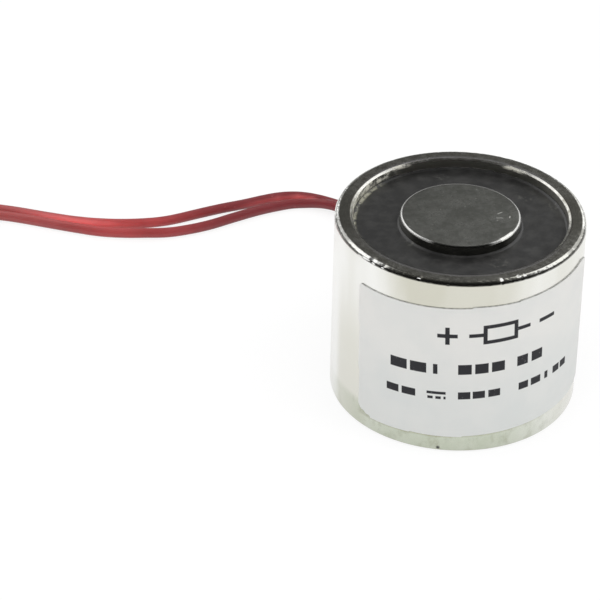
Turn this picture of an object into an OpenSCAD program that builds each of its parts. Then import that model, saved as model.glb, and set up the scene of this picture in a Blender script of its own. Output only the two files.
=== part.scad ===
// Round holding electromagnet: a steel cup and pole core, a potted coil and two leads.
// It stands on its base, with the holding face up, the label at the front and the leads at the back.

/* [Cup] */
// Outer diameter of the cup
cup_d = 25; // [22:0.5:30]
// Height from the base to the holding face
cup_h = 20; // [17:0.5:28]
// Thickness of the cup's wall
cup_wall = 1.8; // [1.4:0.1:2.2]
// Thickness of the cup's base
base_t = 3; // [2:0.25:4]
// Chamfer on the rim's outer edge
rim_break = 0.45; // [0.1:0.05:0.6]
// Chamfer on the rim's inner edge
mouth_break = 0.3; // [0.05:0.05:0.4]
// Chamfer round the base
foot_break = 0.4; // [0.1:0.05:0.8]

/* [Pole core] */
// Diameter of the pole core, as a share of the cup's
core_share = 0.48; // [0.42:0.01:0.5]
// Radius on the edge of the core's face
core_round = 0.2; // [0.05:0.05:0.4]
// Diameter of the spigot pressed through the cup's base
spigot_d = 8; // [6.5:0.25:9]
// Chamfer on the spigot's end
spigot_break = 0.2; // [0.05:0.05:0.3]
// Tapping diameter of the fixing thread in the back
tap_d = 3.3; // [2.5:0.1:4.2]
// Full depth of the tapped hole
tap_depth = 7; // [4:0.5:10]
// Width of the countersink at the thread's mouth
tap_sink = 0.4; // [0.2:0.05:0.6]
// Point angle of the drill that made the hole
drill_angle = 118; // [90:1:140]

/* [Coil] */
// Clearance between the core and the bobbin, on the radius
bobbin_fit = 0.1; // [0.05:0.05:0.2]
// Thickness of the bobbin's tube
bobbin_wall = 0.6; // [0.4:0.05:0.8]
// Thickness of the bobbin's flanges
flange_t = 0.7; // [0.5:0.05:1]
// Gap between the flanges and the cup's wall
flange_gap = 0.5; // [0.3:0.05:0.9]
// Thickness of the tape round the winding
tape_t = 0.15; // [0.05:0.05:0.25]
// Diameter of the winding's wire ends
tail_d = 0.3; // [0.15:0.05:0.4]
// Bend radius where a wire end turns in to the winding
tail_bend = 0.5; // [0.3:0.05:0.6]

/* [Potting] */
// Depth of the resin below the holding face
pot_depth = 1.15; // [0.6:0.05:1.6]
// Height and width of the rise where the resin meets the steel
pot_rise = 0.15; // [0.05:0.05:0.3]
// Resin over the top of the bobbin
pot_cover = 1.25; // [0.8:0.05:1.8]
// Depth of the resin's end inside the lead hole
plug_depth = 0.3; // [0.1:0.05:0.8]

/* [Leads] */
// Diameter over the leads' insulation
lead_d = 1.1; // [0.9:0.05:1.2]
// Gap between the two leads in their hole
lead_split = 0.1; // [0.05:0.05:0.2]
// Room round the pair of leads in their hole
hole_room = 0.25; // [0.15:0.05:0.4]
// Height of the leads above the lower flange
lead_rise = 1.3; // [1:0.05:2]
// Bend radius where a lead turns into its hole
lead_bend = 1.2; // [1:0.05:1.4]
// Length of lead laid round the coil before its insulation stops
lead_tuck_len = 6; // [4:0.5:9]
// Length of each solder joint
splice_len = 2.5; // [1.5:0.25:4]
// Diameter of each solder joint
splice_d = 0.7; // [0.5:0.05:0.75]
// Outer diameter of the sleeves over the joints
sleeve_d = 1.5; // [1.4:0.05:1.7]
// Clearance between a sleeve and its lead, on the radius
sleeve_fit = 0.03; // [0.02:0.01:0.05]
// Length by which a sleeve passes each end of its joint
sleeve_lap_len = 2; // [1:0.25:3]
// Clearance between a sleeve and its neighbours
sleeve_room = 0.1; // [0.05:0.05:0.2]
// Length of wire end laid round the coil past its joint
tail_len = 5.5; // [3:0.5:8]

/* [Lead ends] */
// Length of the tinned bare end of each lead
tip_len = 4; // [2:0.5:8]
// Diameter of the tinned conductor
tip_d = 0.5; // [0.3:0.05:0.7]

/* [Lead coil] */
// Radius of the first turn
coil_first_r = 8.05; // [7.5:0.05:10]
// Turns in each of the coil's two layers
coil_turns = 2; // [1:0.25:2]
// Gap between neighbouring turns
coil_split = 0.02; // [0:0.01:0.1]
// Thickness of the tie
tie_t = 0.25; // [0.15:0.05:0.4]
// Width of the tie at the outside of the coil
tie_w = 3; // [2:0.25:5]

/* [Label] */
// Width of the label, measured round the cup
label_w = 28.6; // [16:0.1:36]
// Height of the label
label_h = 15.1; // [10:0.1:16]
// Height of the label's middle above the base
label_z = 9.7; // [9:0.1:10.5]
// Thickness of the label
label_t = 0.12; // [0.05:0.01:0.3]
// Angle by which the label is stuck on askew
label_tilt = 2.4; // [0:0.1:4]

/* [Hidden] */
$fn = 96;

// How far a cutting shape passes the face that it cuts
over = 1;

// Radii and heights of the steel
cup_r = cup_d / 2;
cup_ri = cup_r - cup_wall;
core_r = core_share * cup_r;
tap_r = tap_d / 2;

// Radii and heights of the coil: the winding fills what the leads leave
lead_gap = sleeve_d + 2 * sleeve_room;
tape_r = cup_ri - lead_gap;
winding_r = tape_r - tape_t;
bobbin_ri = core_r + bobbin_fit;
bobbin_ro = bobbin_ri + bobbin_wall;
flange_r = cup_ri - flange_gap;
pot_z = cup_h - pot_depth;
bobbin_top = pot_z - pot_cover;
slot_low = base_t + flange_t;
slot_high = bobbin_top - flange_t;

// Lead geometry inside the cup
lead_r = lead_d / 2;
lead_x = (lead_d + lead_split) / 2;
lead_z = slot_low + lead_rise;
hole_r = lead_x + lead_r + hole_room;
ring_r = cup_ri - lead_gap / 2;
bend_x = lead_x + lead_bend;
bend_y = sqrt(pow(ring_r + lead_bend, 2) - pow(bend_x, 2));
bend_angle = asin(bend_x / (ring_r + lead_bend));
root_step = 1.2;
bend_steps = 4;
lead_stop = bend_angle + ring_deg(lead_tuck_len);
splice_stop = lead_stop + ring_deg(splice_len);
tail_stop = splice_stop + ring_deg(tail_len);
sleeve_start = lead_stop - ring_deg(sleeve_lap_len);
sleeve_stop = splice_stop + ring_deg(sleeve_lap_len);

// Half the label's angle round the cup, and what its blank has over before the ends are cut
label_turn = label_w / cup_d * 180 / PI;
label_spare = 10;

// Lead coil: two layers of both leads side by side, on the table behind and to the left
coil_step = lead_d + coil_split;
coil_ro = coil_first_r + lead_r;
coil_ri = coil_first_r - coil_step - 2 * coil_step * coil_turns - lead_r;
coil_low = tie_t;
coil_high = tie_t + 2 * lead_d;
tie_turn = 100;

// Plan of each free lead on the table, from a point behind the middle of the cup's back to the coil;
// a third number lifts a point off the table or onto the other lead, in lead diameters
plan_a = [
    [0.55, 12.5], [0.15, 15.5], [-0.6, 18], [-1.7, 20.2], [-3, 21.85], [-4.15, 22.95], [-5.3, 23.85],
    [-6.5, 24.52], [-7.8, 24.93], [-9.2, 25.06], [-10.6, 24.93], [-13.4, 24.42], [-16.2, 24.03],
    [-19.1, 23.46], [-21.9, 22.89], [-23.3, 22.77], [-24.7, 22.82], [-27.3, 23.19], [-29.8, 23.85],
    [-32.3, 24.82], [-34.8, 26.1], [-39.1, 28.5], [-43.5, 30.5]
];
plan_b = [
    [-0.65, 12.5], [-1.05, 15, 0.05], [-1.65, 17.2, 0.25], [-2.55, 19.2, 0.45], [-3.5, 20.8, 0.45],
    [-4.5, 21.7, 0.42], [-5.65, 22.55, 0.22], [-6.85, 23.1, 0.05], [-8.2, 23.34], [-9.6, 23.22],
    [-12.45, 22.6, 0.05], [-15.4, 21.72, 0.06], [-18.3, 20.93], [-21.1, 20.48], [-22.5, 20.38, 0.02],
    [-23.8, 20.42, 0.06], [-25.1, 20.61, 0.1], [-27.6, 21.22, 0.05], [-30.1, 22.14], [-32.6, 23.44],
    [-35.05, 24.85], [-39.35, 27.3],
    [-41, 28.05]
];

// Fall of a lead from its hole to the table: steps back from the wall and shares of its height left
fall = [[0, 1], [2.5, 0.98], [5, 0.8], [7.5, 0.46], [10, 0.15]];
run_a = route_of(lead_x, plan_a);
run_b = route_of(-lead_x, plan_b);

// The coil's rim meets the end of the longer run; each loose end starts at a turn round the rim
rim_gap = 0.8;
meet_turn = 36;
coil_at = plan_a[len(plan_a) - 1] - (coil_ro + rim_gap) * [cos(meet_turn), sin(meet_turn)];
end_a = end_of(200, [[0, 0], [-0.9, -2.5], [-1.3, -4.4], [-1.4, -5]]);
end_b = end_of(260.5, [
    [0, 0], [1.2, -2.3], [2, -4.7], [2.2, -7.2], [1.8, -9.7], [0.8, -12], [-0.7, -14], [-2.6, -16.2],
    [-4.9, -18], [-6.3, -18.7]
]);
run_start = [0, 1, 0];
tube_sides = 8;

// Angle that a length takes up on the ring where the leads lie
function ring_deg(len) = len / ring_r * 180 / PI;

// Route of a lead inside the cup: along the ring, round a bend and out through the wall
function root_of(side) =
    let (steps = ceil(lead_tuck_len / root_step))
    concat(
        [for (i = [0 : steps])
            let (turn = lead_stop + (bend_angle - lead_stop) * i / steps)
            [side * ring_r * sin(turn), ring_r * cos(turn), lead_z]],
        [for (i = [1 : bend_steps])
            let (turn = (90 - bend_angle) * (1 - i / bend_steps))
            [side * (bend_x - lead_bend * cos(turn)), bend_y - lead_bend * sin(turn), lead_z]],
        [[side * lead_x, cup_r, lead_z]]);

// Route of a run: the fall from the hole, then its plan on the table
function route_of(x, plan) = concat(
    [for (step = fall) [x, step.x, lead_r + (lead_z - lead_r) * step.y]],
    [for (at = plan) [at.x, at.y, lead_r + lead_d * (len(at) > 2 ? at.z : 0)]]);

// Route of a loose end: from the rim of the coil's upper layer down to the table
function end_of(turn, plan) =
    let (rim = coil_at + (coil_ro + lead_r) * [cos(turn), sin(turn)])
    [for (i = [0 : len(plan) - 1])
        [rim.x + plan[i].x, rim.y + plan[i].y, lead_r + (i == 0 ? lead_d : i == 1 ? lead_d / 3 : 0)]];

// Direction of a route at its point i
function unit(v) = v / norm(v);
function heading(route, i) = unit(route[min(i + 1, len(route) - 1)] - route[max(i - 1, 0)]);

// Corners of the ring round point i of a route, level across and square to its heading
function ring_points(route, i, r, first) =
    let (ahead = i == 0 && first != undef ? first : heading(route, i),
         across = unit(cross(ahead, [0, 0, 1])),
         above = cross(across, ahead))
    [for (k = [0 : tube_sides - 1])
        let (turn = 360 * (k + 0.5) / tube_sides)
        route[i] + r * (cos(turn) * across + sin(turn) * above)];

// Tube along a route, closed by a flat face at each end
module tube(route, r, first) {
    rings = len(route);
    points = [for (i = [0 : rings - 1]) each ring_points(route, i, r, first)];
    sides = [for (i = [0 : rings - 2], k = [0 : tube_sides - 1])
        let (next = (k + 1) % tube_sides, low = i * tube_sides, high = low + tube_sides)
        each [[low + k, low + next, high + k], [low + next, high + next, high + k]]];
    front = [for (k = [tube_sides - 1 : -1 : 0]) k];
    back = [for (k = [0 : tube_sides - 1]) (rings - 1) * tube_sides + k];
    polyhedron(points = points, faces = concat([front], sides, [back]));
}

// Arc of round wire on the leads' ring, between two angles from the lead hole; side is 1 or -1
module ring_arc(d, from, to, side) {
    mirror([side < 0 ? 1 : 0, 0, 0])
        translate([0, 0, lead_z])
            rotate([0, 0, 90 - to])
                rotate_extrude(angle = to - from)
                    translate([ring_r, 0])
                        circle(d = d);
}

// Round pocket or wire through the wall along the lead hole
module wall_bore(r, from, to, x) {
    translate([x, from, lead_z])
        rotate([-90, 0, 0])
            cylinder(h = to - from, r = r);
}

module cup() {
    color("gainsboro")
        difference() {
            rotate_extrude()
                polygon([
                    [spigot_d / 2, 0], [cup_r - foot_break, 0], [cup_r, foot_break],
                    [cup_r, cup_h - rim_break], [cup_r - rim_break, cup_h],
                    [cup_ri + mouth_break, cup_h], [cup_ri, cup_h - mouth_break],
                    [cup_ri, base_t], [spigot_d / 2, base_t]
                ]);
            wall_bore(hole_r, cup_ri - over, cup_r + over, 0);
        }
}

module pole_core() {
    spigot_r = spigot_d / 2;
    tip_h = tap_r / tan(drill_angle / 2);
    color("dimgray")
        rotate_extrude()
            union() {
                polygon([
                    [tap_r + tap_sink, 0], [spigot_r - spigot_break, 0], [spigot_r, spigot_break],
                    [spigot_r, base_t], [core_r, base_t], [core_r, cup_h - core_round],
                    [core_r - core_round, cup_h], [0, cup_h], [0, tap_depth + tip_h],
                    [tap_r, tap_depth], [tap_r, tap_sink]
                ]);
                intersection() {
                    translate([core_r - core_round, cup_h - core_round])
                        circle(r = core_round);
                    translate([core_r - core_round, cup_h - core_round])
                        square(core_round);
                }
            }
}

module bobbin() {
    color("ivory")
        rotate_extrude()
            polygon([
                [bobbin_ri, base_t], [flange_r, base_t], [flange_r, slot_low], [bobbin_ro, slot_low],
                [bobbin_ro, slot_high], [flange_r, slot_high], [flange_r, bobbin_top],
                [bobbin_ri, bobbin_top]
            ]);
}

// Ring that fills the bobbin's slot between two radii
module slot_ring(ri, ro) {
    rotate_extrude()
        translate([ri, slot_low])
            square([ro - ri, slot_high - slot_low]);
}

module winding() {
    color("peru")
        slot_ring(bobbin_ro, winding_r);
}

module winding_tape() {
    color("gold")
        difference() {
            slot_ring(winding_r, tape_r);
            tail_drop(1);
            tail_drop(-1);
        }
}

// Straight piece of a wire end, from its bend in to the winding's surface
module tail_drop(side) {
    difference() {
        mirror([side < 0 ? 1 : 0, 0, 0])
            rotate([0, 0, -tail_stop])
                wall_bore(tail_d / 2, winding_r - tail_bend, ring_r - tail_bend, tail_bend);
        cylinder(h = cup_h, r = winding_r);
    }
}

// Whole wire end: along the ring, round a bend and in to the winding
module tail(side) {
    ring_arc(tail_d, splice_stop, tail_stop, side);
    mirror([side < 0 ? 1 : 0, 0, 0])
        rotate([0, 0, -tail_stop])
            translate([0, ring_r - tail_bend, lead_z])
                rotate_extrude(angle = 90)
                    translate([tail_bend, 0])
                        circle(d = tail_d);
    tail_drop(side);
}

module start_tail() {
    color("sienna")
        tail(1);
}

module finish_tail() {
    color("sienna")
        tail(-1);
}

module start_splice() {
    color("silver")
        ring_arc(splice_d, lead_stop, splice_stop, 1);
}

module finish_splice() {
    color("silver")
        ring_arc(splice_d, lead_stop, splice_stop, -1);
}

// Sleeve over a solder joint, open at both ends round the lead and the wire end
module sleeve(side) {
    difference() {
        ring_arc(sleeve_d, sleeve_start, sleeve_stop, side);
        ring_arc(lead_d + 2 * sleeve_fit, sleeve_start - over, sleeve_stop + over, side);
    }
}

module start_sleeve() {
    color("khaki")
        sleeve(1);
}

module finish_sleeve() {
    color("khaki")
        sleeve(-1);
}

// Part of a lead inside the cup
module lead_root(side) {
    tube(root_of(side), lead_r, [-side * cos(lead_stop), sin(lead_stop), 0]);
}

module lead_a_root() {
    color("firebrick")
        lead_root(1);
}

module lead_b_root() {
    color("firebrick")
        lead_root(-1);
}

module potting() {
    color("#2a2a2c")
        difference() {
            union() {
                rotate_extrude()
                    polygon([
                        [flange_r, base_t], [cup_ri, base_t], [cup_ri, pot_z + pot_rise],
                        [cup_ri - pot_rise, pot_z], [core_r + pot_rise, pot_z],
                        [core_r, pot_z + pot_rise], [core_r, bobbin_top], [flange_r, bobbin_top],
                        [flange_r, slot_high], [tape_r, slot_high], [tape_r, slot_low],
                        [flange_r, slot_low]
                    ]);
                difference() {
                    wall_bore(hole_r, ring_r, cup_r - plug_depth, 0);
                    cylinder(h = cup_h, r = ring_r);
                }
            }
            for (side = [1, -1]) {
                lead_root(side);
                ring_arc(sleeve_d, sleeve_start, sleeve_stop, side);
                tail(side);
            }
        }
}

// Block whose near face cuts an end of the label square to the label's edges
module label_end(side) {
    rotate([0, 0, side * label_turn])
        translate([0, -cup_r, label_z])
            rotate([0, -label_tilt, 0])
                translate([side > 0 ? 0 : -cup_r, -cup_r / 2, -cup_h])
                    cube([cup_r, cup_r, 2 * cup_h]);
}

module label() {
    color("white")
        difference() {
            intersection() {
                rotate([0, 0, -90 - label_turn - label_spare])
                    rotate_extrude(angle = 2 * (label_turn + label_spare))
                        translate([cup_r, 0])
                            square([label_t, cup_h]);
                translate([0, 0, label_z])
                    rotate([0, -label_tilt, 0])
                        cube([2 * cup_d, 2 * cup_d, label_h], center = true);
            }
            label_end(1);
            label_end(-1);
        }
}

// The free leads are laid out from the middle of the cup's back
module behind() {
    translate([0, cup_r, 0])
        children();
}

module lead_a_run() {
    color("crimson")
        behind()
            tube(run_a, lead_r, run_start);
}

module lead_b_run() {
    color("crimson")
        behind()
            tube(run_b, lead_r, run_start);
}

module lead_coil() {
    color("crimson")
        behind()
            translate([coil_at.x, coil_at.y, coil_low])
                rotate_extrude()
                    translate([coil_ri, 0])
                        square([coil_ro - coil_ri, coil_high - coil_low]);
}

module coil_tie() {
    color("black")
        behind()
            translate([coil_at.x, coil_at.y, 0])
                rotate([0, 0, tie_turn])
                    rotate_extrude(angle = tie_w / coil_ro * 180 / PI)
                        difference() {
                            translate([coil_ri - tie_t, 0])
                                square([coil_ro - coil_ri + 2 * tie_t, coil_high + tie_t]);
                            translate([coil_ri, coil_low])
                                square([coil_ro - coil_ri, coil_high - coil_low]);
                        }
}

module lead_a_end() {
    color("crimson")
        behind()
            tube(end_a, lead_r);
}

module lead_b_end() {
    color("crimson")
        behind()
            tube(end_b, lead_r);
}

// Tinned conductor that stands out of the last face of a route
module lead_tip(route) {
    last = len(route) - 1;
    ahead = heading(route, last);
    behind()
        translate(route[last])
            rotate([90, 0, atan2(ahead.y, ahead.x) + 90])
                cylinder(h = tip_len, d = tip_d);
}

module lead_a_tip() {
    color("silver")
        lead_tip(end_a);
}

module lead_b_tip() {
    color("silver")
        lead_tip(end_b);
}

cup();
pole_core();
bobbin();
winding();
winding_tape();
potting();
label();
start_tail();
finish_tail();
start_splice();
finish_splice();
start_sleeve();
finish_sleeve();
lead_a_root();
lead_b_root();
lead_a_run();
lead_b_run();
lead_coil();
coil_tie();
lead_a_end();
lead_b_end();
lead_a_tip();
lead_b_tip();
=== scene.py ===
# Holding electromagnet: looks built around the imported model
import math

import bpy
from mathutils import Matrix, Vector


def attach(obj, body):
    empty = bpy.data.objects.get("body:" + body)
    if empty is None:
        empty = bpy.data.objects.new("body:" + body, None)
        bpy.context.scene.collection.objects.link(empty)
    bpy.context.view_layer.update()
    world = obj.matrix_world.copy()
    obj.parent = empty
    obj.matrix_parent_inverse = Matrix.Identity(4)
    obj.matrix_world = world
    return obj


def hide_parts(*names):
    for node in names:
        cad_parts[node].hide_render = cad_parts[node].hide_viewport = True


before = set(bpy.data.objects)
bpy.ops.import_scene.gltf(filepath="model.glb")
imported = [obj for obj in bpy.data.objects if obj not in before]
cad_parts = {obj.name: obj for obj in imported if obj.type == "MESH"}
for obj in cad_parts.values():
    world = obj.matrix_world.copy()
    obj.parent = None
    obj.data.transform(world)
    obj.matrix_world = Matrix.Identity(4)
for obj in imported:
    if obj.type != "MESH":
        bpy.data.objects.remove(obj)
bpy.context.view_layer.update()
mm = 0.001
print("frame:", len(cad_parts), "nodes")

# Camera, at the viewing angle of the photograph
camera = {
    "at": (-78.98, -243.09, 178.97),  # mm
    "right": (0.97113, -0.23784, 0.0186),
    "up": (0.11665, 0.54143, 0.83262),
    "lens": 181.92,
    "sensor": 36.0,
    "clip": (0.01, 20),  # m
}
# directions on the table: to the camera's right, and away from it
view = {"across": (0.97131, -0.23783), "ahead": (0.23783, 0.97131)}


def addCamera(spec):
    right = Vector(spec["right"]).normalized()
    back = right.cross(Vector(spec["up"])).normalized()
    turn = Matrix((right, back.cross(right), back)).transposed()
    bpy.ops.object.camera_add(location=Vector(spec["at"]) * mm, rotation=turn.to_euler())
    made = bpy.context.object
    made.name = "camera"
    made.data.sensor_width = spec["sensor"]
    made.data.lens = spec["lens"]
    made.data.clip_start, made.data.clip_end = spec["clip"]
    bpy.context.scene.camera = made


addCamera(camera)
print("camera set")

# Sizes that finishes and pieces share
cupRadius = 12.5
sticker = {"radius": 12.502, "thick": 0.118, "width": 28.6, "height": 15.1, "middle": 9.7, "tilt": 2.4}

# Leads: out of the hole, down to the table, along it and into a tied coil
leads = {
    "thickness": 1.1,
    "length": 200,
    "exit": (0.6, 12.5, 5.0),
    "inside": 1.1,  # start inside the resin
    "fall": [(0, 5.0), (2.5, 4.911), (5, 4.11), (7.5, 2.597), (10, 1.2175)],
    "lie": 0.55,  # height of the middle on the table
    # plan on the table from the cup's back; a third number lifts a point
    "planA": [
        (0.55, 12.5, 0.13), (0.15, 15.5, 0.03), (-0.6, 18), (-1.7, 20.2), (-3, 21.85), (-4.15, 22.95),
        (-5.3, 23.85), (-6.5, 24.52), (-7.8, 24.93), (-9.2, 25.06), (-10.6, 24.93), (-13.4, 24.42),
        (-16.2, 24.03), (-19.1, 23.46), (-21.9, 22.89), (-23.3, 22.77), (-24.7, 22.82), (-27.3, 23.19),
        (-29.8, 23.85), (-32.3, 24.82), (-34.8, 26.1), (-39.1, 28.5), (-43.5, 30.5),
    ],
    "planB": [
        (-0.65, 12.5, 0.11), (-1.05, 15, 0.06), (-1.65, 17.2, 0.275), (-2.55, 19.2, 0.495),
        (-3.5, 20.8, 0.495), (-4.5, 21.7, 0.462), (-5.65, 22.55, 0.242), (-6.85, 23.1, 0.055),
        (-8.2, 23.34), (-9.6, 23.22), (-12.45, 22.6, 0.055), (-15.4, 21.72, 0.066), (-18.3, 20.93),
        (-21.1, 20.48), (-22.5, 20.38, 0.022), (-23.8, 20.42, 0.066), (-25.1, 20.61, 0.11),
        (-27.6, 21.22, 0.055), (-30.1, 22.14), (-32.6, 23.44), (-35.05, 24.85), (-39.35, 27.3), (-41, 28.05),
    ],
    # loose ends, with heights
    "endA": [
        (-59.703, 34.345, 1.65), (-60.603, 31.845, 0.917), (-61.003, 29.945, 0.58), (-61.103, 29.345, 0.55),
    ],
    "endB": [
        (-52.615, 28.45, 1.65), (-51.415, 26.15, 0.917), (-50.615, 23.75, 0.6), (-50.415, 21.25, 0.56),
        (-50.815, 18.75, 0.55), (-51.815, 16.45, 0.55), (-53.315, 14.45, 0.55), (-55.215, 12.25, 0.55),
        (-57.515, 10.45, 0.55), (-58.915, 9.75, 0.55),
    ],
    "curveSteps": 6,
    "roundSteps": 5,
}
coil = {
    "at": (-51.105, 37.475),
    "firstA": 8.05,
    "firstB": 6.93,
    "step": 2.24,  # change of radius for each turn of the pair
    "inTurns": 2.0,
    "turnsA": 3.25,
    "turnsB": 3.4,
    "startAngle": 66,
    "low": 0.8,
    "high": 1.9,
    "climb": 0.3,  # part of a turn between the layers
    "perTurn": 16,
}


def coilPoints(first, turns):
    points = []
    count = round(turns * coil["perTurn"])
    for i in range(count + 1):
        t = turns * i / count
        inward = min(t, coil["inTurns"])
        outward = max(t - coil["inTurns"], 0)
        radius = first + coil["step"] * (outward - inward)
        rise = min(max((t - coil["inTurns"] + coil["climb"] / 2) / coil["climb"], 0), 1)
        rise = rise * rise * (3 - 2 * rise)
        angle = math.radians(coil["startAngle"] + 360 * t)
        points.append((
            coil["at"][0] + radius * math.cos(angle),
            coil["at"][1] + radius * math.sin(angle),
            coil["low"] + rise * (coil["high"] - coil["low"]),
        ))
    return points


def leadRoute(side, plan, first, turns, end):
    x, back, height = leads["exit"]
    points = [(side * x, back - leads["inside"], height)]
    points += [(side * x, back + step, z) for step, z in leads["fall"]]
    points += [(at[0], back + at[1], leads["lie"] + sum(at[2:])) for at in plan]
    return points + coilPoints(first, turns) + list(end)


def addLead(name, points):
    line = bpy.data.curves.new(name, "CURVE")
    line.dimensions = "3D"
    line.resolution_u = leads["curveSteps"]
    line.bevel_depth = leads["thickness"] / 2 * mm
    line.bevel_resolution = leads["roundSteps"]
    line.use_fill_caps = True
    spline = line.splines.new("BEZIER")
    spline.bezier_points.add(len(points) - 1)
    for knot, point in zip(spline.bezier_points, points):
        knot.co = Vector(point) * mm
        knot.handle_left_type = knot.handle_right_type = "AUTO"
    made = bpy.data.objects.new(name, line)
    bpy.context.scene.collection.objects.link(made)
    return made


leadA = addLead("lead_a", leadRoute(1, leads["planA"], coil["firstA"], coil["turnsA"], leads["endA"]))
leadB = addLead("lead_b", leadRoute(-1, leads["planB"], coil["firstB"], coil["turnsB"], leads["endB"]))
print("leads drawn")


# Shader sockets that work in sums
class Wire:
    def __init__(self, tree, out=None):
        self.tree = tree
        self.out = out

    def node(self, kind, settings=None, inputs=None, out=0):
        made = self.tree.nodes.new(kind)
        for name, value in (settings or {}).items():
            if name == "stops":
                ramp = made.color_ramp
                while len(ramp.elements) < len(value):
                    ramp.elements.new(0.5)
                for element, (at, colour) in zip(ramp.elements, value):
                    element.position = at
                    element.color = colour
            elif name == "rampMode":
                made.color_ramp.interpolation = value
            else:
                setattr(made, name, value)
        for name, value in (inputs or {}).items():
            if isinstance(value, Wire):
                self.tree.links.new(value.out, made.inputs[name])
            else:
                made.inputs[name].default_value = value
        return Wire(self.tree, made.outputs[out] if made.outputs else None)

    def maths(self, operation, first, second=0.0):
        return self.node("ShaderNodeMath", {"operation": operation}, {0: first, 1: second})

    def __add__(self, other):
        return self.maths("ADD", self, other)

    __radd__ = __add__

    def __sub__(self, other):
        return self.maths("SUBTRACT", self, other)

    def __rsub__(self, other):
        return self.maths("SUBTRACT", other, self)

    def __mul__(self, other):
        return self.maths("MULTIPLY", self, other)

    __rmul__ = __mul__

    def __truediv__(self, other):
        return self.maths("DIVIDE", self, other)

    def __pow__(self, other):
        return self.maths("POWER", self, other)

    def __lt__(self, other):
        return self.maths("LESS_THAN", self, other)

    def __gt__(self, other):
        return self.maths("GREATER_THAN", self, other)

    def __abs__(self):
        return self.maths("ABSOLUTE", self)


# Masks and textures that several finishes share; all lengths in mm
def fade(value, low, high):  # from 0 at low to 1 at high, either way round
    return value.node("ShaderNodeMapRange", {"interpolation_type": "SMOOTHSTEP"},
                      {"Value": value, "From Min": low, "From Max": high})


def hump(value, middle, reach, core):  # 1 within core of the middle, 0 past reach
    return fade(abs(value - middle), reach, core)


def window(value, rising, falling):
    return fade(value, *rising) * fade(value, *falling)


def least(first, second):
    return first.maths("MINIMUM", first, second)


def most(first, second):
    return first.maths("MAXIMUM", first, second)


def total(parts):
    whole, *others = parts
    for part in others:
        whole = whole + part
    return whole


def blendColour(share, first, second):
    return share.node("ShaderNodeMix", {"data_type": "RGBA"}, {0: share, 6: first, 7: second}, out=2)


def noise(place, scale, detail=3.0, rough=0.55, stretch=(1, 1, 1)):
    moved = place.node("ShaderNodeMapping", None, {"Vector": place, "Scale": stretch})
    return place.node("ShaderNodeTexNoise", None,
                      {"Vector": moved, "Scale": scale / mm, "Detail": detail, "Roughness": rough})


def rings(distance, scale):
    return distance.node("ShaderNodeTexNoise", {"noise_dimensions": "1D"},
                         {"W": distance, "Scale": scale, "Detail": 2.0, "Roughness": 0.6})


def bump(height):
    return height.node("ShaderNodeBump", None, {"Height": height, "Strength": 1.0, "Distance": mm})


class Finish:
    def __init__(self, name):
        self.material = bpy.data.materials.new(name)
        self.material.use_nodes = True
        tree = self.material.node_tree
        self.shader = tree.nodes["Principled BSDF"]
        self.wire = Wire(tree)
        self.place = self.wire.node("ShaderNodeTexCoord", out="Object")
        split = self.wire.node("ShaderNodeSeparateXYZ", None, {0: self.place}).out.node
        self.x, self.y, self.z = (Wire(tree, split.outputs[i]) * (1 / mm) for i in range(3))

    def radius(self):
        return (self.x * self.x + self.y * self.y) ** 0.5

    def around(self, radius):  # length round the cup from the label's middle
        return self.wire.maths("ARCTAN2", self.x, self.y * -1) * radius

    def off(self, x, y):  # distance in plan
        return ((self.x - x) ** 2 + (self.y - y) ** 2) ** 0.5

    def along(self, direction):
        return self.x * direction[0] + self.y * direction[1]

    def set(self, **sockets):
        for name, value in sockets.items():
            socket = self.shader.inputs[name.replace("_", " ")]
            if isinstance(value, Wire):
                self.wire.tree.links.new(value.out, socket)
            else:
                socket.default_value = value
        return self.material


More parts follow.
